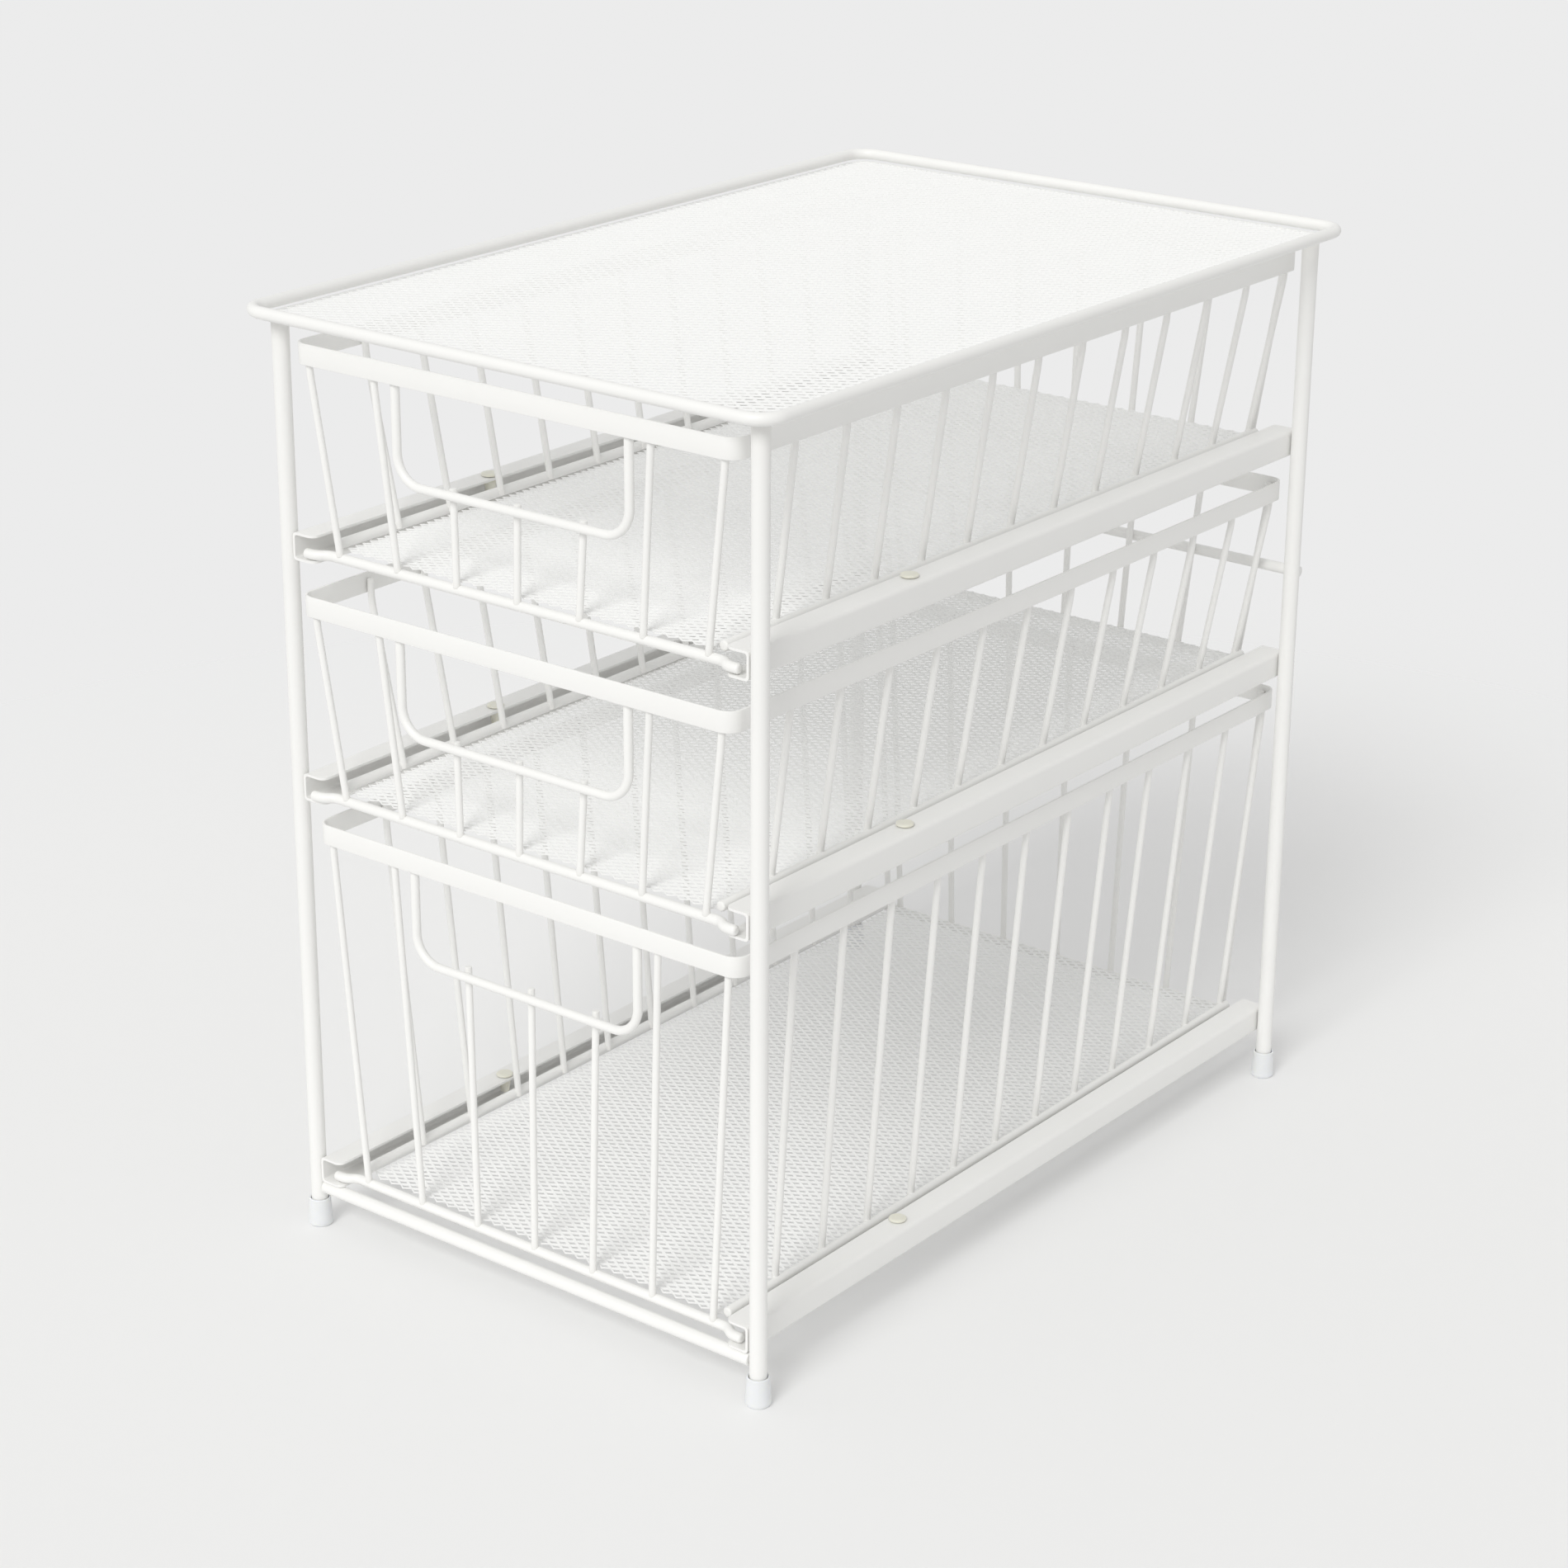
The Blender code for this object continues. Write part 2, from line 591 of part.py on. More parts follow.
def build_drawers():
    """Two shallow drawers over a deep one."""
    coat = drawer_coat()
    net_coat = mesh_coat()
    build_drawer("top", TOP_RAIL, TOP_SET_BACK, SHALLOW_DRAWER, SHALLOW_TIP_RISE, coat, net_coat)
    build_drawer("middle", MIDDLE_RAIL, MIDDLE_SET_BACK, SHALLOW_DRAWER, SHALLOW_TIP_RISE, coat, net_coat)
    build_drawer("bottom", BOTTOM_RAIL, BOTTOM_SET_BACK, DEEP_DRAWER, DEEP_TIP_RISE, coat, net_coat)


clear_scene()
build_frame()
build_drawers()
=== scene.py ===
"""The wire drawer organizer dressed for its photograph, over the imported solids.

Metres, +Z up, front toward -Y. Sections follow the order in which it is welded and fitted.
"""
import math

import bmesh
import bpy
import numpy as np
from mathutils import Euler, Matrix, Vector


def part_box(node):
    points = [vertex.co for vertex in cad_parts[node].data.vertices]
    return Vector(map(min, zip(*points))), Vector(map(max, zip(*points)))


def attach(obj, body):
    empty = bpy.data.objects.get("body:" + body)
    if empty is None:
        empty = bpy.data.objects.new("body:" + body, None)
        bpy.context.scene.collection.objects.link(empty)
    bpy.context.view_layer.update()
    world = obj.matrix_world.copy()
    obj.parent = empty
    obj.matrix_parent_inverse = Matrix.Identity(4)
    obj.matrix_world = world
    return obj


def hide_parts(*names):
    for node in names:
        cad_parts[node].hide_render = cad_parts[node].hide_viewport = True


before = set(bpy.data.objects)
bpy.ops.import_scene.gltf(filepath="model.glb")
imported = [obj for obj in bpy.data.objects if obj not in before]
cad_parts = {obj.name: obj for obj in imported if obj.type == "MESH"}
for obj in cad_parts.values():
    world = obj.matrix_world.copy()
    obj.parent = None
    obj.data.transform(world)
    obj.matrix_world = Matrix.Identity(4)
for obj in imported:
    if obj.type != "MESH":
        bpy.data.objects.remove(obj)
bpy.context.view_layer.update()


# Legs
# Four straight steel rods, powder coated white, that carry the loop, the rails and the cross rods.
# Each is cut square, and its coat thickens where the loop is welded to its top. There its colour is
# painted a little darker, a painted shade under the loop.

LEG_DIAMETER = 0.0070
LEG_SIDES = 40
LEG_POINTS = 24
LEG_BEAD = 0.00012
WHITE = (0.905, 0.902, 0.886)
WELD_SHADE_TONE = (0.865, 0.858, 0.835)
DRIFT_SCALE = 38
DRIFT_DETAIL = 3
PEEL_SCALE = 1150
PEEL_DETAIL = 2
PEEL_DEPTH = 0.00002
TONE_DRIFT = (0.985, 1.008)
GLOSS_DRIFT = (-0.05, 0.07)
CAP_RINGS = 5
BEAD_REACH = 1.6
SAME_POINT = 1e-7


def linked(tree, source, socket, target, other):
    """A link between two nodes, by the names of their sockets."""
    tree.links.new(source.outputs[socket], target.inputs[other])


def powder_coat(name, colour, roughness, peel):
    """Satin powder coat: its orange peel is a fine bump, its tone and gloss drift over a few
    centimetres, and a weld mask darkens it round a weld: painted shade where a wire meets the
    part it is welded to."""
    coat = bpy.data.materials.new(name)
    coat.use_nodes = True
    tree = coat.node_tree
    shader = tree.nodes["Principled BSDF"]
    place = tree.nodes.new("ShaderNodeTexCoord")
    drift = tree.nodes.new("ShaderNodeTexNoise")
    drift.inputs["Scale"].default_value = DRIFT_SCALE
    drift.inputs["Detail"].default_value = DRIFT_DETAIL
    tone = tree.nodes.new("ShaderNodeMix")
    tone.data_type = "RGBA"
    tone.inputs["A"].default_value = (*[part * TONE_DRIFT[0] for part in colour], 1)
    tone.inputs["B"].default_value = (*[part * TONE_DRIFT[1] for part in colour], 1)
    # Painted shade: the weld mask mixes a darker tone into the coat at the foot of each welded
    # wire.
    weld = tree.nodes.new("ShaderNodeAttribute")
    weld.attribute_name = "weld"
    weld_shaded = tree.nodes.new("ShaderNodeMix")
    weld_shaded.data_type = "RGBA"
    weld_shaded.inputs["B"].default_value = (*WELD_SHADE_TONE, 1)
    linked(tree, place, "Object", drift, "Vector")
    linked(tree, drift, "Fac", tone, "Factor")
    linked(tree, weld, "Fac", weld_shaded, "Factor")
    linked(tree, tone, "Result", weld_shaded, "A")
    linked(tree, weld_shaded, "Result", shader, "Base Color")
    grain = tree.nodes.new("ShaderNodeTexNoise")
    grain.inputs["Scale"].default_value = PEEL_SCALE
    grain.inputs["Detail"].default_value = PEEL_DETAIL
    bump = tree.nodes.new("ShaderNodeBump")
    bump.inputs["Strength"].default_value = peel
    bump.inputs["Distance"].default_value = PEEL_DEPTH
    gloss = tree.nodes.new("ShaderNodeMapRange")
    gloss.inputs["To Min"].default_value = roughness + GLOSS_DRIFT[0]
    gloss.inputs["To Max"].default_value = roughness + GLOSS_DRIFT[1]
    linked(tree, place, "Object", grain, "Vector")
    linked(tree, grain, "Fac", bump, "Height")
    linked(tree, bump, "Normal", shader, "Normal")
    linked(tree, drift, "Fac", gloss, "Value")
    linked(tree, gloss, "Result", shader, "Roughness")
    return coat


def ring_quads(groups, rows, columns, rows_close):
    """Faces between neighbouring rings of a grid: (row, column), (row, next column),
    (next row, next column), (next row, column). Columns wrap round, and rows wrap only when they
    close."""
    last = rows if rows_close else rows - 1
    group, row, column = np.meshgrid(np.arange(groups), np.arange(last), np.arange(columns),
                                     indexing="ij")
    ahead, beside = (row + 1) % rows, (column + 1) % columns
    first = group * rows * columns
    quads = [first + row * columns + column, first + row * columns + beside,
             first + ahead * columns + beside, first + ahead * columns + column]
    return np.stack(quads, -1).reshape(-1, 4)


def round_wire(paths, diameter, across, sides, swell=0.0, rim=0.12):
    """Wire along paths (wire, point, xyz): centre + radius * (cos a * side + sin a * up), where
    side is square to the path and to `across`. Near each path's start the radius grows by
    swell * exp(-(d / (BEAD_REACH r))^2), the bead round a weld. An end is a flat whose edge is
    rounded by a quarter circle of `rim` times the radius: edge (1 - cos t) along,
    radius - edge (1 - sin t) out. Returns points, faces, and the bead's profile as the weld mask,
    along which the coat is painted darker, a painted shade at the weld."""
    paths = np.asarray(paths, float)
    radius = diameter / 2
    edge = radius * rim
    ahead = np.gradient(paths, axis=1)
    ahead /= np.linalg.norm(ahead, axis=2, keepdims=True)
    side = np.cross(ahead, across)
    side /= np.linalg.norm(side, axis=2, keepdims=True)
    up = np.cross(side, ahead)
    run = np.linalg.norm(paths - paths[:, :1], axis=2)
    bead = np.exp(-((run / (radius * BEAD_REACH)) ** 2)) if swell else np.zeros(run.shape)
    t = np.linspace(0, math.pi / 2, CAP_RINGS)
    order = np.array([0] * CAP_RINGS + list(range(paths.shape[1])) + [-1] * CAP_RINGS)
    along, inward = edge * (1 - np.cos(t)), edge * (1 - np.sin(t))
    centre = paths[:, order].copy()
    centre[:, 1:CAP_RINGS + 1] += ahead[:, :1] * along[:, None]
    centre[:, -CAP_RINGS - 1:-1] -= ahead[:, -1:] * along[::-1, None]
    wide = (radius + swell * bead)[:, order]
    wide[:, 1:CAP_RINGS + 1] -= inward
    wide[:, -CAP_RINGS - 1:-1] -= inward[::-1]
    wide[:, [0, -1]] = 0
    turn = np.linspace(0, math.tau, sides, endpoint=False)[:, None]
    around = np.cos(turn) * side[:, order, None] + np.sin(turn) * up[:, order, None]
    points = centre[:, :, None] + wide[:, :, None, None] * around
    faces = ring_quads(len(paths), len(order), sides, False)
    weld = np.broadcast_to(bead[:, order, None], points.shape[:3])
    return points.reshape(-1, 3), [faces], weld.reshape(-1)


def joined(shapes):
    """Several (points, groups of faces, weld mask of painted shade) sets as one. Each set's faces
    are moved on by the number of points before it."""
    points, faces, weld = zip(*shapes)
    starts = np.cumsum([0] + [len(part) for part in points[:-1]])
    moved = [group + start for groups, start in zip(faces, starts) for group in groups]
    return np.concatenate(points), moved, np.concatenate(weld)


def finished(node, shape, material, body, crease=35):
    """The dressed piece that stands for a CAD node and rides with its body: doubled points joined
    at seams and poles, faces turned out, and shading smooth below the crease angle."""
    points, faces, weld = shape
    mesh = bpy.data.meshes.new(f"{node}_coated")
    mesh.from_pydata(points.tolist(), [], sum((group.tolist() for group in faces), []))
    # The weld mask becomes a point attribute, which the coat reads to paint shade round the welds.
    mesh.attributes.new("weld", "FLOAT", "POINT").data.foreach_set("value", weld.astype(np.float32))
    tidy = bmesh.new()
    tidy.from_mesh(mesh)
    bmesh.ops.remove_doubles(tidy, verts=tidy.verts, dist=SAME_POINT)
    if tidy.calc_volume(signed=True) < 0:
        bmesh.ops.reverse_faces(tidy, faces=tidy.faces)
    tidy.to_mesh(mesh)
    tidy.free()
    mesh.shade_smooth()
    mesh.set_sharp_from_angle(angle=math.radians(crease))
    mesh.materials.append(material)
    piece = bpy.data.objects.new(f"{node}_coated", mesh)
    bpy.context.scene.collection.objects.link(piece)
    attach(piece, body)
    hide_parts(node)


frame_coat = powder_coat("frame_coat", WHITE, roughness=0.42, peel=0.35)
for end in ("front", "rear"):
    for hand in ("left", "right"):
        low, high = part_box(f"leg_{end}_{hand}")
        middle = (low + high) / 2
        path = np.linspace((middle.x, middle.y, high.z), (middle.x, middle.y, low.z), LEG_POINTS)
        # The bead at the leg's top carries the painted shade under the loop.
        leg = round_wire([path], LEG_DIAMETER, (0, 1, 0), LEG_SIDES, LEG_BEAD)
        finished(f"leg_{end}_{hand}", leg, frame_coat, "frame")


# Top loop
# One 5 mm steel wire bent to a rounded rectangle and butt welded, coated with the frame.
# It is the rim of the shelf, and the legs and the mesh are welded under it.

LOOP_CORNER = 0.0125
LOOP_SIDES = 32
CORNER_STEPS = 14


def rounded_rectangle(half_x, half_y, radius, steps):
    """Points round a rectangle with round corners, corner centre + radius * (cos a, sin a),
    counter-clockwise from the right, and the outward direction (cos a, sin a) at each."""
    turn = np.arange(4)[:, None] * math.pi / 2 + np.linspace(0, math.pi / 2, steps + 1)
    out = np.stack([np.cos(turn), np.sin(turn)], -1)
    centre = np.array([[1, 1], [-1, 1], [-1, -1], [1, -1]]) * (half_x - radius, half_y - radius)
    return (centre[:, None] + radius * out).reshape(-1, 2), out.reshape(-1, 2)


def carried_round(outline, out, profile, level):
    """A closed profile (outward, up) carried round a level outline: outline + outward * out,
    level + up."""
    rows, columns = len(outline), len(profile)
    points = np.zeros((rows, columns, 3))
    points[..., :2] = outline[:, None] + profile[None, :, :1] * out[:, None]
    points[..., 2] = level + profile[:, 1]
    return points.reshape(-1, 3), [ring_quads(1, rows, columns, True)], np.zeros(rows * columns)


low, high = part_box("top_frame_wire")
loop_wire = (high.z - low.z) / 2
turn = np.linspace(0, math.tau, LOOP_SIDES, endpoint=False)
circle = np.stack([np.cos(turn), np.sin(turn)], 1) * loop_wire
outline, out = rounded_rectangle(high.x - loop_wire, high.y - loop_wire, LOOP_CORNER - loop_wire,
                                 CORNER_STEPS)
finished("top_frame_wire", carried_round(outline, out, circle, high.z - loop_wire), frame_coat,
         "frame")


# Top shelf mesh
# Expanded steel sheet with its long diamonds across the organizer, in a flat edge strip.
# Its strands lean as the slitting press leaves them. It is spot welded to the loop from below.

SHELF_LONG_WAY = 0.0070
SHELF_SHORT_WAY = 0.0048
SHELF_STRAND = 0.00068
SHELF_STRIP = 0.0016
SHELF_CORNER = 0.0090
MESH_CREASE = 12
METAL = 0.00028
LEAN = 0.00020
BLUNT = 0.10
MESH_WHITE = (0.915, 0.917, 0.910)


def expanded_sheet(half_x, half_y, long_way, short_way, strand, middle, level):
    """Expanded metal. Bonds lie on lattice points (i, j) with i + j even, and a hole round each
    point with i + j odd. A hole is a diamond of share * half pitch, where
    share = 1 - strand * hypot(px, py) / (2 px py), and its side corners are cut at BLUNT. Its far
    half is lowered by LEAN and its near half lifted, so that every strand leans to the front."""
    columns = int(round(half_x * 4 / long_way))
    rows = int(round(half_y * 4 / short_way))
    px, py = half_x * 2 / columns, half_y * 2 / rows
    share = 1 - strand * math.hypot(px, py) / (2 * px * py)
    i, j = np.meshgrid(np.arange(columns + 1), np.arange(rows + 1), indexing="ij")
    hole = (i % columns > 0) & (j % rows > 0) & ((i + j) % 2 == 1)
    ci, cj = i[hole], j[hole]
    spot = np.stack([px * i - half_x, py * j - half_y + middle, np.full(i.shape, level)], -1)
    spot = spot.reshape(-1, 3)
    steps = np.array([[1, 0], [0, 1], [-1, 0], [0, -1]])
    bond = (ci[:, None] + steps[:, 0]) * (rows + 1) + cj[:, None] + steps[:, 1]
    side = 1 - BLUNT
    ring = np.array([[side, BLUNT, -1], [0, 1, -1], [-side, BLUNT, -1],
                     [-side, -BLUNT, 1], [0, -1, 1], [side, -BLUNT, 1]])
    ring = ring * (share * px, share * py, LEAN)
    centre = np.stack([px * ci - half_x, py * cj - half_y + middle, np.full(len(ci), level)], 1)
    points = np.concatenate([spot, (centre[:, None] + ring).reshape(-1, 3)])
    count = len(points)
    inner = len(spot) + np.arange(len(ci) * 6).reshape(-1, 6)
    strands = ((0, 1, 0, 1), (1, 2, 1, 2), (2, 3, 3, 4), (3, 0, 4, 5))
    upper = np.concatenate([
        np.stack([bond[:, near], bond[:, away], inner[:, past], inner[:, at]], 1)
        for near, away, at, past in strands])
    blunt = np.concatenate([np.stack([bond[:, 0], inner[:, 0], inner[:, 5]], 1),
                            np.stack([bond[:, 2], inner[:, 3], inner[:, 2]], 1)])
    after = np.roll(inner, -1, 1)
    inside = np.stack([inner, after, after + count, inner + count], -1).reshape(-1, 4)
    rim = np.stack([bond, np.roll(bond, -1, 1)], -1).reshape(-1, 2)
    _, first, used = np.unique(np.sort(rim, 1), axis=0, return_index=True, return_counts=True)
    cut = rim[first[used == 1]]
    outside = np.stack([cut[:, 1], cut[:, 0], cut[:, 0] + count, cut[:, 1] + count], -1)
    quads = np.concatenate([upper, upper[:, ::-1] + count, inside, outside])
    corners = np.concatenate([blunt, blunt[:, ::-1] + count])
    kept = np.unique(quads)
    half = np.array([0, 0, METAL / 2])
    points = np.concatenate([points + half, points - half])[kept]
    faces = [np.searchsorted(kept, quads), np.searchsorted(kept, corners)]
    return points, faces, np.zeros(len(points))


low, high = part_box("top_mesh_panel")
shelf_level = high.z - METAL / 2 - LEAN
strip = np.array([[0, METAL / 2], [-SHELF_STRIP, METAL / 2],
                  [-SHELF_STRIP, -METAL / 2], [0, -METAL / 2]])
outline, out = rounded_rectangle(high.x, high.y, SHELF_CORNER, CORNER_STEPS)
shelf_sheet = expanded_sheet(high.x - SHELF_STRIP / 2, high.y - SHELF_STRIP / 2, SHELF_LONG_WAY,
                             SHELF_SHORT_WAY, SHELF_STRAND, 0, shelf_level)
mesh_coat = powder_coat("mesh_coat", MESH_WHITE, roughness=0.48, peel=0.20)
finished("top_mesh_panel", joined([shelf_sheet, carried_round(outline, out, strip, shelf_level)]),
         mesh_coat, "frame", MESH_CREASE)


# Feet
# Soft cloudy plastic caps, moulded in one and pushed over the leg ends.
# The skirt flares to a rounded floor edge, and the mouth has a thin rim.

FOOT_SIDES = 48
FOOT_EASE = 0.0006
FOOT_SKIRT = ((0, 0.0003), (0.66, 0.0003), (0.72, 0), (0.78, 0), (0.90, 0.0001), (1, 0.0013),
              (0.965, 0.0030))
FOOT_MOUTH = ((0.87, -0.0012), (0.87, 0), (0.72, 0), (0.70, -0.0010))
FOOT_BORE = ((0.70, 0.0022), (0, 0.0022))
FOOT_TINT = (0.905, 0.920, 0.932)
EASE_STEPS = 4
CLOUD_SCALE = 160
CLOUD_TONE = 0.94
CLOUD_GRAIN = 1400
CLOUD_DEPTH = 0.00005
CLOUD_BUMP = 0.15
SCATTER = 0.35
SCATTER_REACH = (0.004, 0.004, 0.005)
PLASTIC_IOR = 1.5


def sized(profile, radius, level=0.0):
    """A profile of (share, height) pairs at its size: (share * radius, height + level)."""
    return np.array(profile) * (radius, 1) + (0, level)


def turned(profile, x, y, level, sides):
    """A profile (radius, height) turned round an upright axis:
    (x + r cos a, y + r sin a, level + height)."""
    turn = np.linspace(0, math.tau, sides, endpoint=False)
    points = np.zeros((len(profile), sides, 3))
    points[..., 0] = x + profile[:, :1] * np.cos(turn)
    points[..., 1] = y + profile[:, :1] * np.sin(turn)
    points[..., 2] = level + profile[:, 1:]
    faces = ring_quads(1, len(profile), sides, False)
    return points.reshape(-1, 3), [faces], np.zeros(len(profile) * sides)


def softened(corners, radius, steps):
    """A path with each inner corner eased by a parabola, (1-t)^2 A + 2t(1-t) K + t^2 B, where A and
    B lie `radius` before and after the corner K, or halfway along where a side is short."""
    corners = np.asarray(corners, float)
    t = np.linspace(0, 1, steps + 1)[:, None]
    path = [corners[:1]]
    for before, corner, after in zip(corners, corners[1:], corners[2:]):
        back, ahead = before - corner, after - corner
        start = corner + back * min(radius / np.linalg.norm(back), 0.5)
        end = corner + ahead * min(radius / np.linalg.norm(ahead), 0.5)
        path.append((1 - t) ** 2 * start + 2 * t * (1 - t) * corner + t ** 2 * end)
    return np.concatenate([*path, corners[-1:]])


def cloudy_plastic(name, colour, clear, roughness):
    """Translucent moulded plastic: light scatters just under its skin, and its tone is faintly
    cloudy."""
    plastic = bpy.data.materials.new(name)
    plastic.use_nodes = True
    tree = plastic.node_tree
    shader = tree.nodes["Principled BSDF"]
    shader.inputs["Roughness"].default_value = roughness
    shader.inputs["Transmission Weight"].default_value = clear
    shader.inputs["Subsurface Weight"].default_value = SCATTER
    shader.inputs["Subsurface Radius"].default_value = SCATTER_REACH
    shader.inputs["IOR"].default_value = PLASTIC_IOR
    place = tree.nodes.new("ShaderNodeTexCoord")
    cloud = tree.nodes.new("ShaderNodeTexNoise")
    cloud.inputs["Scale"].default_value = CLOUD_SCALE
    tone = tree.nodes.new("ShaderNodeMix")
    tone.data_type = "RGBA"
    tone.inputs["A"].default_value = (*[part * CLOUD_TONE for part in colour], 1)
    tone.inputs["B"].default_value = (*colour, 1)
    grain = tree.nodes.new("ShaderNodeTexNoise")
    grain.inputs["Scale"].default_value = CLOUD_GRAIN
    bump = tree.nodes.new("ShaderNodeBump")
    bump.inputs["Strength"].default_value = CLOUD_BUMP
    bump.inputs["Distance"].default_value = CLOUD_DEPTH
    linked(tree, place, "Object", cloud, "Vector")
    linked(tree, cloud, "Fac", tone, "Factor")
    linked(tree, tone, "Result", shader, "Base Color")
    linked(tree, place, "Object", grain, "Vector")
    linked(tree, grain, "Fac", bump, "Height")
    linked(tree, bump, "Normal", shader, "Normal")
    return plastic


foot_plastic = cloudy_plastic("foot_plastic", FOOT_TINT, clear=0.08, roughness=0.32)
for end in ("front", "rear"):
    for hand in ("left", "right"):
        low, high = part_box(f"foot_{end}_{hand}")
        middle = (low + high) / 2
        wide = (high.x - low.x) / 2
        cap = softened(np.concatenate([sized(FOOT_SKIRT, wide), sized(FOOT_MOUTH, wide, high.z),
                                       sized(FOOT_BORE, wide)]), FOOT_EASE, EASE_STEPS)
        finished(f"foot_{end}_{hand}", turned(cap, middle.x, middle.y, low.z, FOOT_SIDES),
                 foot_plastic, "frame")


# Channel rails
# Six runners folded from 1 mm sheet to a C that is open toward the middle, spot welded to the inner
# sides of the legs and coated with them. The front corners of both flanges are rounded off.

SHEET = 0.0010
RAIL_BEND = 0.0018
RAIL_TIP = 0.0032
BEND_STEPS = 7
TIP_STEPS = 7
RAIL_ROWS = 9


def channel(side, low, high):
    """A folded C: its outline, out along the outer face and back along the inner one, is carried
    from front to rear. At the front each point starts later by R - sqrt(R^2 - (R - d)^2), where d
    is its distance from the lip and R the round of the corner. A strip joins the outer and inner
    rows at both ends."""
    web = high.x if side > 0 else -low.x
    lip = low.x if side > 0 else -high.x
    height = high.z - low.z
    back, roof = web - SHEET, height - SHEET
    bent = [softened([(lip, height), (web, height), (web, 0), (lip, 0)], RAIL_BEND, BEND_STEPS),
            softened([(lip, roof), (back, roof), (back, SHEET), (lip, SHEET)],
                     RAIL_BEND - SHEET / 2, BEND_STEPS)]
    across = lip + RAIL_TIP * (1 - np.cos(np.linspace(0, math.pi / 2, TIP_STEPS + 1)[1:]))
    tip = [np.stack([across, np.full(TIP_STEPS, run[0, 1])], 1) for run in bent]
    foot = [np.stack([across[::-1], np.full(TIP_STEPS, run[-1, 1])], 1) for run in bent]
    outer, inner = (np.concatenate([run[:1], up, run[1:-1], down, run[-1:]])
                    for run, up, down in zip(bent, tip, foot))
    outline = np.concatenate([outer, inner[::-1]])
    from_lip = np.clip(outline[:, 0] - lip, 0, RAIL_TIP)
    late = RAIL_TIP - np.sqrt(RAIL_TIP ** 2 - (RAIL_TIP - from_lip) ** 2)
    dense = np.linspace(0, 1, RAIL_ROWS)[:, None]
    count = len(outline)
    rows = low.y + late + dense * (high.y - low.y - late)
    points = np.zeros((len(rows), count, 3))
    points[..., 0] = side * outline[:, 0]
    points[..., 1] = rows
    points[..., 2] = low.z + outline[:, 1]
    pair = np.arange(count // 2 - 1)
    strip = np.stack([pair, pair + 1, count - 2 - pair, count - 1 - pair], -1)
    ends = np.concatenate([strip, strip[:, ::-1] + (len(rows) - 1) * count])
    faces = np.concatenate([ring_quads(1, len(rows), count, False)[:, ::-1], ends])
    return points.reshape(-1, 3), [faces], np.zeros(len(rows) * count)


TIERS = ("top", "middle", "bottom")
for tier in TIERS:
    for hand, side in (("left", -1), ("right", 1)):
        low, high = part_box(f"{tier}_rail_{hand}")
        finished(f"{tier}_rail_{hand}", channel(side, low, high), frame_coat, "frame")


# Bumpers
# Straw-coloured soft plugs pushed through a hole in each rail's upper flange.
# The flat head shows on the rail, and the bulb below it holds the plug and stops a drawer's wire.

BUMPER_SIDES = 36
BUMPER_EASE = 0.0004
BUMPER_HEAD = ((0, 0), (0.80, -0.0001), (1, -0.0005), (1, -0.0013), (0.46, -0.0013),
               (0.46, -0.0029), (0.73, -0.0037))
BUMPER_TIP = ((0.49, 0.0002), (0, 0))
STRAW = (0.900, 0.888, 0.780)
straw_plastic = cloudy_plastic("straw_plastic", STRAW, clear=0.08, roughness=0.40)
for tier in TIERS:
    for hand in ("left", "right"):
        low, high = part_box(f"{tier}_bumper_{hand}")
        middle = (low + high) / 2
        wide = (high.x - low.x) / 2
        plug = softened(np.concatenate([sized(BUMPER_HEAD, wide, high.z - low.z),
                                        sized(BUMPER_TIP, wide)]), BUMPER_EASE, EASE_STEPS)
        finished(f"{tier}_bumper_{hand}", turned(plug, middle.x, middle.y, low.z, BUMPER_SIDES),
                 straw_plastic, "frame")


# Cross rods
# Two straight rods keep the side frames apart: a thick one between the front legs under the
# lowest rails, and a thinner one across the backs of the rear legs. Both are welded to the legs.

ROD_SIDES = 28
ROD_POINTS = 20
for rod in ("front_cross_wire", "rear_cross_wire"):
    low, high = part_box(rod)
    middle = (low + high) / 2
    path = np.linspace((low.x, middle.y, middle.z), (high.x, middle.y, middle.z), ROD_POINTS)
    finished(rod, round_wire([path], high.z - low.z, (0, 0, 1), ROD_SIDES), frame_coat, "frame")


# Drawer rim bands
# A 1 mm flat steel band bent to a rounded rectangle, its ends butt welded at the rear, stands on
# edge round the top of each drawer. Uprights and handle are spot welded to its inner face.

BAND_CORNER = 0.0065
BAND_EDGE = 0.00028
EDGE_STEPS = 3
DRAWER_WHITE = (0.908, 0.905, 0.888)
drawer_coat = powder_coat("drawer_coat", DRAWER_WHITE, roughness=0.40, peel=0.35)


def strip_section(thick, tall, edge, steps):
    """A flat strip on edge, seen from its end: a rounded rectangle with its outer face at 0."""
    section, _ = rounded_rectangle(thick / 2, tall / 2, edge, steps)
    return section - (thick / 2, 0)


for tier in TIERS:
    low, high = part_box(f"{tier}_drawer_rim_band")
    outline, out = rounded_rectangle(high.x, (high.y - low.y) / 2, BAND_CORNER, CORNER_STEPS)
    outline = outline + (0, (high.y + low.y) / 2)
    section = strip_section(SHEET, high.z - low.z, BAND_EDGE, EDGE_STEPS)
    finished(f"{tier}_drawer_rim_band", carried_round(outline, out, section, (high.z + low.z) / 2),
             drawer_coat, f"{tier}_drawer")


# Handles
# A U of 3.7 mm wire hangs behind the band at the front, its two ends spot welded to the band.
# The hand goes over the bar, between it and the band.

HANDLE_BEND = 0.0120
HANDLE_STEPS = 16
HANDLE_SIDES = 28


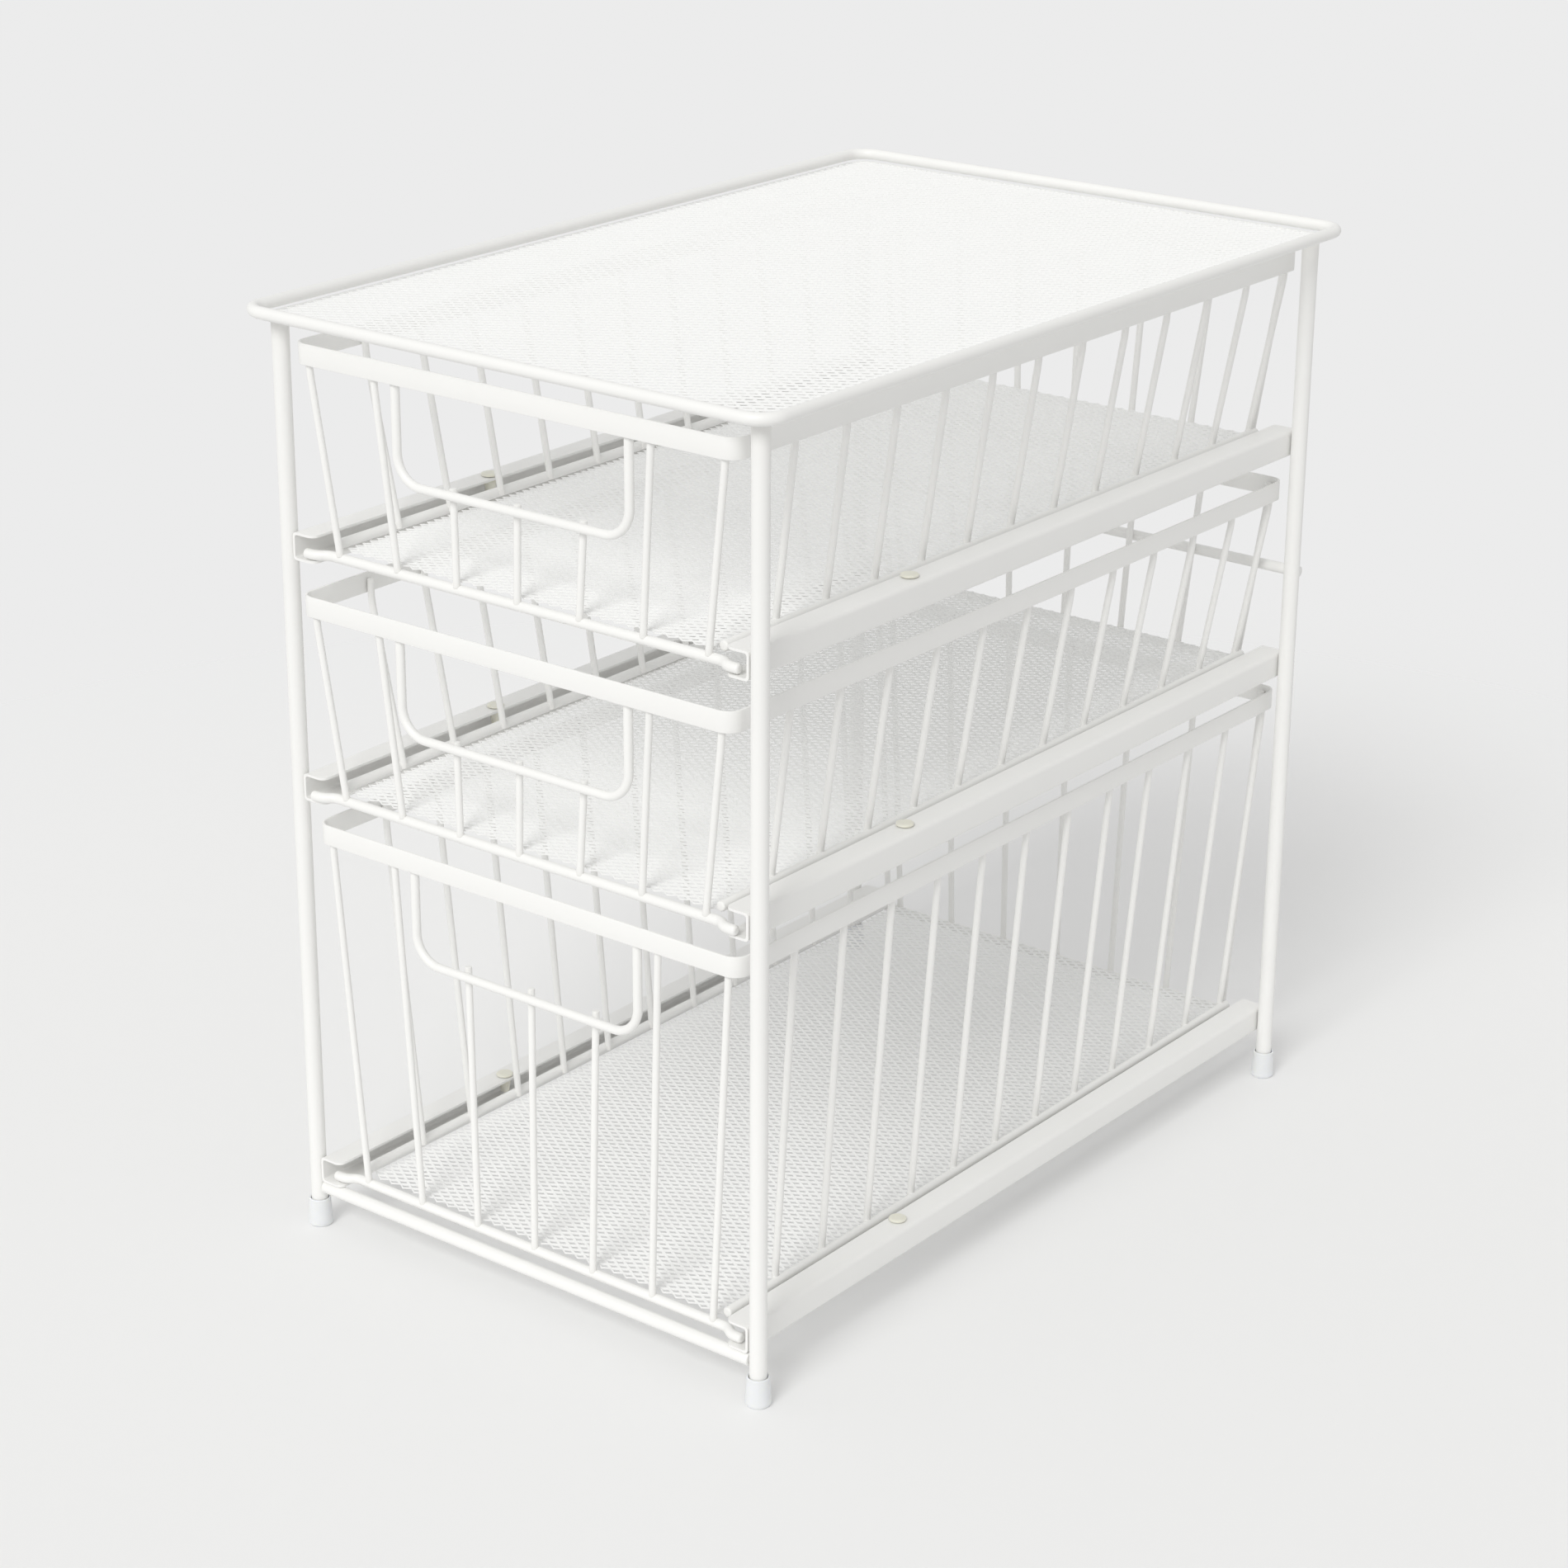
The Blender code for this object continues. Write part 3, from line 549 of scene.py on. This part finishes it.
def round_bends(corners, radius, steps):
    """A path whose right-angled corners K become arcs:
    centre - radius * (cos a * ahead + sin a * back), centre = K + radius * (back + ahead)."""
    corners = np.asarray(corners, float)
    turn = np.linspace(0, math.pi / 2, steps + 1)[:, None]
    path = [corners[:1]]
    for before, corner, after in zip(corners, corners[1:], corners[2:]):
        back = (before - corner) / np.linalg.norm(before - corner)
        ahead = (after - corner) / np.linalg.norm(after - corner)
        centre = corner + radius * (back + ahead)
        path.append(centre - radius * (np.cos(turn) * ahead + np.sin(turn) * back))
    return np.concatenate([*path, corners[-1:]])


for tier in TIERS:
    low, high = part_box(f"{tier}_drawer_handle")
    wire = high.y - low.y
    left, right, y = low.x + wire / 2, high.x - wire / 2, (low.y + high.y) / 2
    bar, head = low.z + wire / 2, high.z
    path = round_bends([(left, y, head), (left, y, bar), (right, y, bar), (right, y, head)],
                       HANDLE_BEND, HANDLE_STEPS)
    handle = round_wire([path], wire, (0, 1, 0), HANDLE_SIDES)
    finished(f"{tier}_drawer_handle", handle, drawer_coat, f"{tier}_drawer")


# Drawer walls
# Each wall is a 4.2 mm floor wire with a row of 2.9 mm uprights resistance welded to it. The
# uprights lean outward and end in a short straight head behind the band. The front wire's ends
# step forward inside the rails, and carry the drawer.

FIT = 0.0003
BAND = 0.0085
HANDLE_WIRE = 0.0037
BASE_WIRE = 0.0042
BASE_SIDES = 24
CROSS_INSET = 0.0063
SIDE_INSET = 0.0125
EAR_FROM = 0.0025
EAR_REACH = 0.0070
EAR_STEP = 0.0033
EAR_BEND = 0.0022
EAR_STEPS = 6
EAR_SHORT = 0.0022
SIDE_SHORT = 0.0024
REAR_POINTS = 12
SIDE_POINTS = 24
END_RIM = 0.55
SIDE_RIM = 0.4
UPRIGHT = 0.0029
UPRIGHT_SIDES = 20
END_COUNT = 7
END_FOOT_FROM_SIDE = 0.0042
END_HEAD_FROM_SIDE = 0.0068
END_FOOT_OUT = 0.0008
SIDE_COUNT = 12
SIDE_FOOT = (0.0413, 0.0124)
SIDE_HEAD = (0.0377, 0.0083)
SIDE_FOOT_IN = 0.0018
KINK_DROP = 0.0025
HEAD_DROP = 0.0024
TIP_RISE = {"top": 0.0018, "middle": 0.0018, "bottom": 0.0030}
BEAD = 0.00008
FOOT_RISE = 0.0011
WELD_POINTS = (0, 0.0004, 0.0008, 0.0012, 0.0017, 0.0023, 0.0030, 0.0042)
LEAN_POINTS = np.linspace(0.01, 0.06, 4)
KINK_START = 0.0035
KINK_END = 0.4
KINK_STEPS = 6


def upright_paths(foot, kink, head):
    """One path for each upright: points close together up from the foot, where the weld bead is,
    then the lean to the kink, which a parabola (1-t)^2 A + 2t(1-t) K + t^2 B eases, then the
    straight head."""
    lean = kink - foot
    length = np.linalg.norm(lean, axis=1)[:, None]
    rise = np.concatenate([WELD_POINTS, LEAN_POINTS])
    low_part = foot[:, None] + rise[None, :, None] * (lean / length)[:, None]
    t = np.linspace(0, 1, KINK_STEPS)[None, :, None]
    start = kink - lean / length * KINK_START
    end = kink + (head - kink) * KINK_END
    bend = (1 - t) ** 2 * start[:, None] + 2 * t * (1 - t) * kink[:, None] + t ** 2 * end[:, None]
    return np.concatenate([low_part, bend, head[:, None]], 1)


def end_uprights(half_x, half_y, outward, height, tip, handle_half):
    """Uprights of the front or rear wall, at even shares of -1 to 1 across it: a foot at share
    times the floor's half width, its kink at share times the rim's. Those under the handle end
    at its bar, (tip - foot) / (kink - foot) up the lean."""
    share = np.linspace(-1, 1, END_COUNT)[:, None]
    foot = np.hstack([share * (half_x - SIDE_INSET - END_FOOT_FROM_SIDE),
                      np.full_like(share, outward * (half_y - CROSS_INSET + END_FOOT_OUT)),
                      np.full_like(share, SHEET + FIT + BASE_WIRE / 2 + FOOT_RISE)])
    kink = np.hstack([share * (half_x - END_HEAD_FROM_SIDE),
                      np.full_like(share, outward * (half_y - SHEET - FIT - UPRIGHT / 2)),
                      np.full_like(share, height - BAND - KINK_DROP)])
    head = kink + (0, 0, BAND + KINK_DROP - HEAD_DROP)
    short = (np.abs(kink[:, 0]) < handle_half) & (tip > 0)
    long_ones = upright_paths(foot[~short], kink[~short], head[~short])
    if not short.any():
        return long_ones, None
    part = (tip - foot[0, 2]) / (kink[0, 2] - foot[0, 2])
    ends = foot[short] + part * (kink[short] - foot[short])
    ends[:, 1] = outward * (half_y - SHEET - 2 * FIT - HANDLE_WIRE - UPRIGHT / 2)
    ends[:, 2] = tip
    rise = np.concatenate([np.array(WELD_POINTS) / tip, [0.5, 1]])
    return long_ones, foot[short][:, None] + rise[None, :, None] * (ends - foot[short])[:, None]


def side_uprights(half_x, half_y, side, height):
    """Uprights of a side wall, shared evenly between a margin at the front and one at the rear:
    front margin - half_y + share * (2 half_y - both margins), for the feet and for the heads."""
    share = np.linspace(0, 1, SIDE_COUNT)[:, None]
    foot_y = SIDE_FOOT[0] - half_y + share * (half_y * 2 - sum(SIDE_FOOT))
    head_y = SIDE_HEAD[0] - half_y + share * (half_y * 2 - sum(SIDE_HEAD))
    floor = 2 * SHEET + 3 * FIT + BASE_WIRE
    foot = np.hstack([np.full_like(share, side * (half_x - SIDE_INSET - SIDE_FOOT_IN)), foot_y,
                      np.full_like(share, floor)])
    kink = np.hstack([np.full_like(share, side * (half_x - SHEET - FIT - UPRIGHT / 2)), head_y,
                      np.full_like(share, height - BAND - KINK_DROP)])
    return upright_paths(foot, kink, kink + (0, 0, BAND + KINK_DROP - HEAD_DROP))


for tier in TIERS:
    body = f"{tier}_drawer"
    low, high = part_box(f"{tier}_drawer_rim_band")
    half_x, half_y, middle = high.x, (high.y - low.y) / 2, (high.y + low.y) / 2
    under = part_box(f"{tier}_drawer_floor_mesh")[0].z - SHEET - 2 * FIT - BASE_WIRE
    height = high.z - under
    handle_low, handle_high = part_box(f"{tier}_drawer_handle")
    tip = handle_low.z + HANDLE_WIRE / 2 - under + TIP_RISE[tier]
    handle_half = handle_high.x - HANDLE_WIRE / 2
    shift = np.array([0, middle, under])
    ear_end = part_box(f"{tier}_drawer_front_wires")[1].x - EAR_SHORT
    cross_y, cross_z = half_y - CROSS_INSET, SHEET + FIT + BASE_WIRE / 2
    side_x = half_x - SIDE_INSET
    step = side_x + EAR_FROM
    reach = side_x + EAR_REACH
    ahead = -cross_y - EAR_STEP
    front = softened([(-ear_end, ahead, cross_z), (-reach, ahead, cross_z),
                      (-step, -cross_y, cross_z), (step, -cross_y, cross_z),
                      (reach, ahead, cross_z), (ear_end, ahead, cross_z)], EAR_BEND, EAR_STEPS)
    rear = np.linspace((-ear_end, cross_y, cross_z), (ear_end, cross_y, cross_z), REAR_POINTS)
    for name, floor_wire, outward, ends_at in (("front", front, -1, tip), ("rear", rear, 1, 0)):
        long_ones, short_ones = end_uprights(half_x, half_y, outward, height, ends_at, handle_half)
        # The uprights' beads carry painted shade at their feet on the floor wire.
        parts = [round_wire([floor_wire + shift], BASE_WIRE, (0, 0, 1), BASE_SIDES, rim=END_RIM),
                 round_wire(long_ones + shift, UPRIGHT, (0, 1, 0), UPRIGHT_SIDES, BEAD)]
        if short_ones is not None:
            parts.append(round_wire(short_ones + shift, UPRIGHT, (0, 1, 0), UPRIGHT_SIDES, BEAD))
        finished(f"{tier}_drawer_{name}_wires", joined(parts), drawer_coat, body)
    run = cross_y - SIDE_SHORT
    for hand, side in (("left", -1), ("right", 1)):
        level = cross_z + BASE_WIRE + FIT
        wire = np.linspace((side * side_x, -run, level), (side * side_x, run, level), SIDE_POINTS)
        uprights = side_uprights(half_x, half_y, side, height) + shift
        # The uprights' beads carry painted shade at their feet on the side wire.
        parts = [round_wire([wire + shift], BASE_WIRE, (0, 0, 1), BASE_SIDES, rim=SIDE_RIM),
                 round_wire(uprights, UPRIGHT, (1, 0, 0), UPRIGHT_SIDES, BEAD)]
        finished(f"{tier}_drawer_{hand}_wires", joined(parts), drawer_coat, body)


# Drawer floors
# The same expanded sheet in a finer pitch lies on the front and rear floor wires between the side
# wires, and is spot welded to them. Its cut edges show the half diamonds.

FLOOR_LONG_WAY = 0.0065
FLOOR_SHORT_WAY = 0.0041
FLOOR_STRAND = 0.00082
for tier in TIERS:
    low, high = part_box(f"{tier}_drawer_floor_mesh")
    sheet = expanded_sheet(high.x, (high.y - low.y) / 2, FLOOR_LONG_WAY, FLOOR_SHORT_WAY,
                           FLOOR_STRAND, (high.y + low.y) / 2, (low.z + high.z) / 2)
    finished(f"{tier}_drawer_floor_mesh", sheet, mesh_coat, f"{tier}_drawer",
             MESH_CREASE)


# Floor and backdrop
# A pale studio floor that fades into the plain background a little way from the object. The sky
# seen in the background has the floor's tone. The sky that lights is brighter to the front left.

PALE = 0.838
FLOOR_GLOW = 0.08
FLOOR_LIT = 0.846
FLOOR_ROUGHNESS = 0.85
FLOOR_SHEEN = 0.1
FLOOR_RADIUS = 1.2
FLOOR_SIDES = 96
FADE_FROM = 0.36
FADE_TO = 0.95
SKY_COLOUR = (1.0, 0.998, 0.99, 1)
SKY_TOWARD = (-0.48, -0.82, -0.15)
SKY_SPAN = 0.9
SKY_DIM = 0.61
SKY_BRIGHT = 0.70


def studio_floor():
    """A level disc, (R cos a, R sin a, 0). Near the object it is lit and holds the shadow, and by
    its rim it clears to the backdrop."""
    shade = bpy.data.materials.new("studio_floor")
    shade.use_nodes = True
    tree = shade.node_tree
    shader = tree.nodes["Principled BSDF"]
    shader.inputs["Base Color"].default_value = (FLOOR_LIT, FLOOR_LIT, FLOOR_LIT, 1)
    shader.inputs["Roughness"].default_value = FLOOR_ROUGHNESS
    shader.inputs["Specular IOR Level"].default_value = FLOOR_SHEEN
    shader.inputs["Emission Color"].default_value = (PALE, PALE, PALE, 1)
    shader.inputs["Emission Strength"].default_value = FLOOR_GLOW
    clear = tree.nodes.new("ShaderNodeBsdfTransparent")
    blend = tree.nodes.new("ShaderNodeMixShader")
    place = tree.nodes.new("ShaderNodeTexCoord")
    far = tree.nodes.new("ShaderNodeVectorMath")
    far.operation = "LENGTH"
    fade = tree.nodes.new("ShaderNodeMapRange")
    fade.interpolation_type = "SMOOTHSTEP"
    fade.inputs["From Min"].default_value = FADE_FROM
    fade.inputs["From Max"].default_value = FADE_TO
    linked(tree, place, "Object", far, 0)
    linked(tree, far, "Value", fade, "Value")
    linked(tree, fade, "Result", blend, 0)
    linked(tree, shader, "BSDF", blend, 1)
    linked(tree, clear, "BSDF", blend, 2)
    linked(tree, blend, "Shader", tree.nodes["Material Output"], "Surface")
    turn = np.linspace(0, math.tau, FLOOR_SIDES, endpoint=False)
    rim = np.stack([np.cos(turn), np.sin(turn), np.zeros(FLOOR_SIDES)], 1) * FLOOR_RADIUS
    mesh = bpy.data.meshes.new("studio_floor")
    mesh.from_pydata(rim.tolist(), [], [list(range(FLOOR_SIDES))])
    mesh.materials.append(shade)
    disc = bpy.data.objects.new("studio_floor", mesh)
    bpy.context.scene.collection.objects.link(disc)


studio_floor()
world = bpy.data.worlds.new("studio")
bpy.context.scene.world = world
world.use_nodes = True
sky = world.node_tree
ground = sky.nodes["Background"]
ground.inputs["Color"].default_value = SKY_COLOUR
way = sky.nodes.new("ShaderNodeTexCoord")
toward = sky.nodes.new("ShaderNodeVectorMath")
toward.operation = "DOT_PRODUCT"
toward.inputs[1].default_value = SKY_TOWARD
bright = sky.nodes.new("ShaderNodeMapRange")
bright.interpolation_type = "SMOOTHSTEP"
bright.inputs["From Min"].default_value = -SKY_SPAN
bright.inputs["From Max"].default_value = SKY_SPAN
bright.inputs["To Min"].default_value = SKY_DIM
bright.inputs["To Max"].default_value = SKY_BRIGHT
linked(sky, way, "Generated", toward, 0)
linked(sky, toward, "Value", bright, "Value")
linked(sky, bright, "Result", ground, "Strength")
seen = sky.nodes.new("ShaderNodeBackground")
seen.inputs["Color"].default_value = (PALE, PALE, PALE, 1)
rays = sky.nodes.new("ShaderNodeLightPath")
either = sky.nodes.new("ShaderNodeMath")
either.operation = "MAXIMUM"
through = sky.nodes.new("ShaderNodeMath")
through.operation = "MAXIMUM"
choice = sky.nodes.new("ShaderNodeMixShader")
linked(sky, rays, "Is Camera Ray", either, 0)
linked(sky, rays, "Is Glossy Ray", either, 1)
linked(sky, either, "Value", through, 0)
linked(sky, rays, "Is Transmission Ray", through, 1)
linked(sky, through, "Value", choice, 0)
linked(sky, ground, "Background", choice, 1)
linked(sky, seen, "Background", choice, 2)
linked(sky, choice, "Shader", sky.nodes["World Output"], "Surface")


# Lamp and camera
# One broad soft key from in front and a little to the right. In the photograph the shadow falls
# straight back from the object and leans slightly to the left.

KEY_HEIGHT = 39
KEY_TURN = 12
KEY_BREADTH = 26
KEY_STRENGTH = 1.36
KEY_COLOUR = (1.0, 1.0, 0.985)
CAMERA_SPOT = (0.87917, -1.14595, 0.73230)
CAMERA_DOWN = 21.1888
CAMERA_TURN = 38.0267
CAMERA_ROLL = 0.3243
CAMERA_LENS = 83.04
key = bpy.data.lights.new("key", "SUN")
key.angle = math.radians(KEY_BREADTH)
key.energy = KEY_STRENGTH
key.color = KEY_COLOUR
sun = bpy.data.objects.new("key", key)
sun.rotation_euler = Euler((math.radians(90 - KEY_HEIGHT), 0, math.radians(KEY_TURN)))
bpy.context.scene.collection.objects.link(sun)

view = bpy.data.cameras.new("camera")
view.sensor_width = 36
view.lens = CAMERA_LENS
view.clip_end = 20
camera = bpy.data.objects.new("camera", view)
camera.location = CAMERA_SPOT
aim = Euler((math.radians(90 - CAMERA_DOWN), 0, math.radians(CAMERA_TURN))).to_matrix()
camera.rotation_euler = (aim @ Euler((0, 0, math.radians(CAMERA_ROLL))).to_matrix()).to_euler()
bpy.context.scene.collection.objects.link(camera)
bpy.context.scene.camera = camera
bpy.context.scene.view_settings.view_transform = "Standard"
